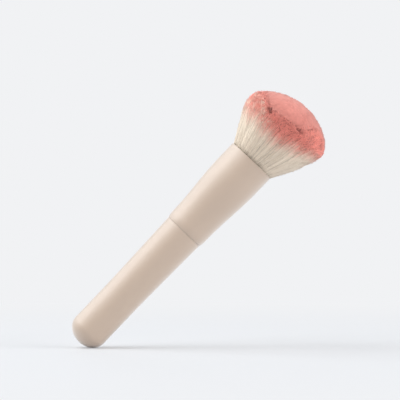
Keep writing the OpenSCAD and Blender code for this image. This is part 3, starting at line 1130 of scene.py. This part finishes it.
class BRUSH_OT_dome_hair(bpy.types.Operator):
    """Adds the close-packed hair ends that make the domed face"""

    bl_idname = "brush.dome_hair"
    bl_label = "Dome hair"

    def execute(self, context):
        hair = settings()[2]
        total, pieces, length = hair.dome_hairs, 2, 1.6
        back_shares = np.array([1.0, 0.45, 0.1, 0.0])
        width_shares = np.array([0.95, 0.95, 0.9, 0.6])
        # Painted shade down each packed hair towards its root
        root_shade_shares = np.array([0.4, 0.2, 0.03, 0.0])
        golden_angle = math.pi * (3 - math.sqrt(5))
        rng = np.random.default_rng(seed=31)
        index = np.arange(total)
        order = np.sqrt((index + 0.5) / total)
        share = 0.5 * np.sin(np.pi / 2 * order) + 0.5 * order
        angle = index * golden_angle % (2 * np.pi) - np.pi
        share = np.clip(share + rng.normal(0, 0.004, total), 0, 0.999)
        angle = angle + rng.normal(0, 0.1, total) / (share * HEAD_R + 0.5)
        cap, crack = cap_and_crack(angle, 1 + 2 / np.pi * np.arccos(share ** (DOME_POWER / 2)))
        proud = np.where(cap > 0.5, rng.normal(0.0, 0.05, total), rng.normal(0.05, 0.17, total))
        height = dome_height(share) + proud - 1.7 * crack - 0.2 * (1 - cap)
        lean = (0.3 + 0.5 * cap) * share**2 + rng.normal(0, 0.12, total) * (1 - cap)
        thin = thin_powder_and_shade(angle, share * HEAD_R) * cap
        speckle = 0.04 * cap * mottle(angle, share * HEAD_R, seed=53, spacing=1.3)
        back = length * back_shares[None, :]
        width = hair.thickness / MM / 2 * width_shares[None, :]
        for number in range(pieces):
            pick = np.arange(number, total, pieces)
            radius = np.maximum(share[pick, None] * HEAD_R - back * np.sin(lean[pick])[:, None], 0.01)
            z = height[pick, None] - back * np.cos(lean[pick])[:, None]
            tint = 1 + (cap * (1 - THIN_FADE * thin))[pick, None]
            # Painted shade outside the cap and in cracks and pits, and partly where the powder is thin on the
            # side away from the lamps; the speckle is the powder's own tone
            bright = 0.98 + rng.normal(0, 0.05, len(pick)) - 0.1 * (1 - cap[pick]) - 0.85 * crack[pick]
            bright = bright - THIN_TONE_AND_SHADE * thin[pick] + speckle[pick]
            shade = bright[:, None] * (1 - root_shade_shares * (1 - 0.7 * cap[pick, None]))
            centres = around(radius, angle[pick, None], z)
            add_strands(f"dome_hair_{number + 1}", centres, width, tint, shade, rng)
        return {"FINISHED"}


class BRUSH_OT_stray_hair(bpy.types.Operator):
    """Adds the fine single hairs that stand off the head and soften its outline"""

    bl_idname = "brush.stray_hair"
    bl_label = "Stray hair"

    def execute(self, context):
        hair = settings()[2]
        count, rings = hair.stray_hairs, 5
        lowest, reach, root_sink, least_radius = 0.2, 1.7, 0.3, 4.0
        rng = np.random.default_rng(seed=47)
        t = np.linspace(0, 1, rings)[None, :]
        angle = rng.uniform(-np.pi, np.pi, (count, 1))
        end = lowest + reach * rng.uniform(0, 1, (count, 1)) ** 0.9
        length = rng.uniform(0.05, 0.11, (count, 1))
        place = end - length * (1 - t)
        path = head_curve(place)
        cap, crack = cap_and_crack(angle, place)
        stands_off = rng.uniform(0.1, 0.75, (count, 1)) * (1 - 0.35 * cap[:, -1:])
        radius, height = lifted(path, -root_sink + (root_sink + stands_off) * t**1.5 - CRACK_SINK * crack)
        sideways = rng.normal(0, 0.4, (count, 1)) * length * CURVE_MM * t**1.5
        turned_by = sideways / np.maximum(path[..., 0], least_radius)
        tint = dyed(height, angle, rng.normal(0, DYE_SCATTER, (count, 1))) * (1 + cap)
        # Painted shade in cracks and pits
        shade = 0.98 + rng.normal(0, 0.05, (count, 1)) - PAINTED_CRACK_SHADE * crack
        width = hair.thickness / MM / 4 * (1 - 0.5 * t**3)
        add_strands("stray_hair", around(radius, angle + turned_by, height), width, tint, shade, rng)
        return {"FINISHED"}


OPERATORS = (
    BRUSH_OT_stage,
    BRUSH_OT_casings,
    BRUSH_OT_inner_pieces,
    BRUSH_OT_hair_mass,
    BRUSH_OT_side_hair,
    BRUSH_OT_tousled_hair,
    BRUSH_OT_edge_hair,
    BRUSH_OT_dome_hair,
    BRUSH_OT_stray_hair,
)


class VIEW3D_PT_brush(bpy.types.Panel):
    """Lists the steps that build the brush"""

    bl_idname = "VIEW3D_PT_brush"
    bl_label = "Blush brush"
    bl_space_type = "VIEW_3D"
    bl_region_type = "UI"
    bl_category = "Brush"

    def draw(self, context):
        for operator in OPERATORS:
            self.layout.operator(operator.bl_idname)
        for group in settings():
            box = self.layout.box()
            for name in group.bl_rna.properties.keys():
                if name not in {"rna_type", "name"}:
                    box.prop(group, name)


CLASSES = (StageSettings, CoatSettings, HairSettings, *OPERATORS, VIEW3D_PT_brush)


def register():
    for item in CLASSES:
        bpy.utils.register_class(item)
    bpy.types.Scene.brush_stage = PointerProperty(type=StageSettings)
    bpy.types.Scene.brush_coat = PointerProperty(type=CoatSettings)
    bpy.types.Scene.brush_hair = PointerProperty(type=HairSettings)


def unregister():
    del bpy.types.Scene.brush_stage
    del bpy.types.Scene.brush_coat
    del bpy.types.Scene.brush_hair
    for item in reversed(CLASSES):
        bpy.utils.unregister_class(item)


def main():
    register()
    bpy.ops.brush.stage()
    bpy.ops.brush.casings()
    bpy.ops.brush.inner_pieces()
    bpy.ops.brush.hair_mass()
    bpy.ops.brush.side_hair()
    bpy.ops.brush.tousled_hair()
    bpy.ops.brush.edge_hair()
    bpy.ops.brush.dome_hair()
    bpy.ops.brush.stray_hair()


if __name__ == "__main__":
    main()
